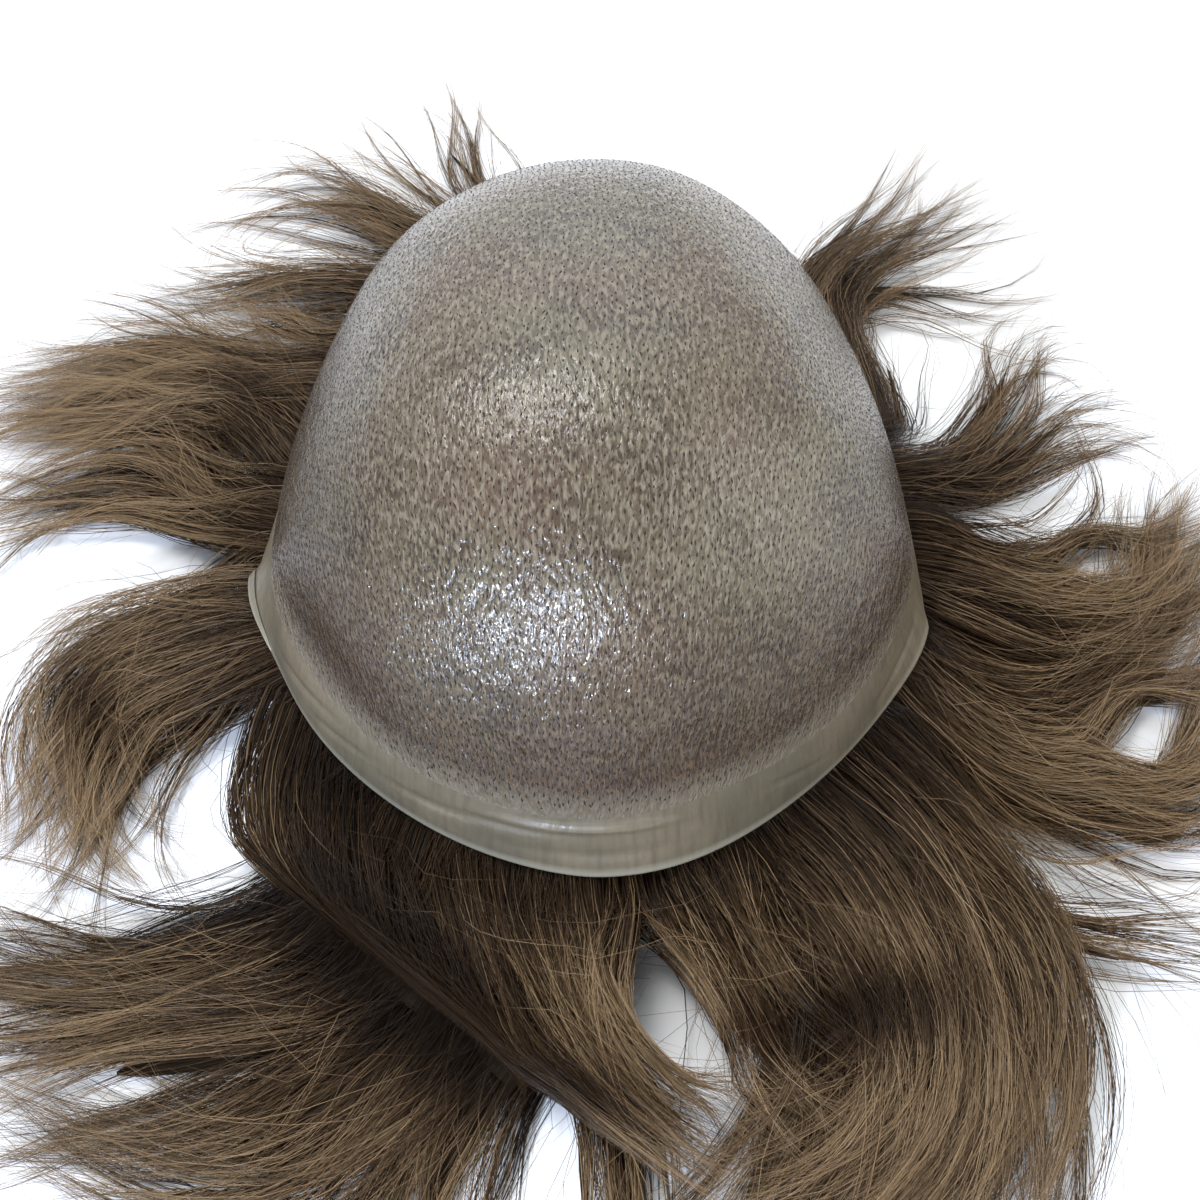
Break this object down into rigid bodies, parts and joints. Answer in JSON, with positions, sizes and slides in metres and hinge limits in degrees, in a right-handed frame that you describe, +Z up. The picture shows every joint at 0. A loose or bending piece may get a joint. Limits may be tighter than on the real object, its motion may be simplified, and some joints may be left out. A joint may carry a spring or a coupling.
{
  "type": "toupee hairpiece",
  "caption": "Skin-base toupee lying inside out: a domed knotted film with a clear edge band, and wavy hair fanning out from the hollow side under its rim.",
  "frame": {"origin": "middle of the whole piece's footprint, on the table it lies on", "axes": "+Z up through the dome, -Y towards the front hairline, +X to the right seen from the front hairline"},
  "size_m": [0.3626, 0.4116, 0.1],
  "materials": {
    "film": "thin polyurethane skin with knotted hair ends, semi-gloss with a fine orange-peel grain",
    "band": "clear thin polyurethane margin, satin to glossy, slightly see-through",
    "hair": "ash-brown wavy human hair, darker at the roots and lighter towards the tips"
  },
  "bodies": {
    "root": {"film_base": "film", "edge_band": "band", "hair_front": "hair", "hair_left": "hair", "hair_right": "hair", "hair_back": "hair"}
  },
  "joints": []
}
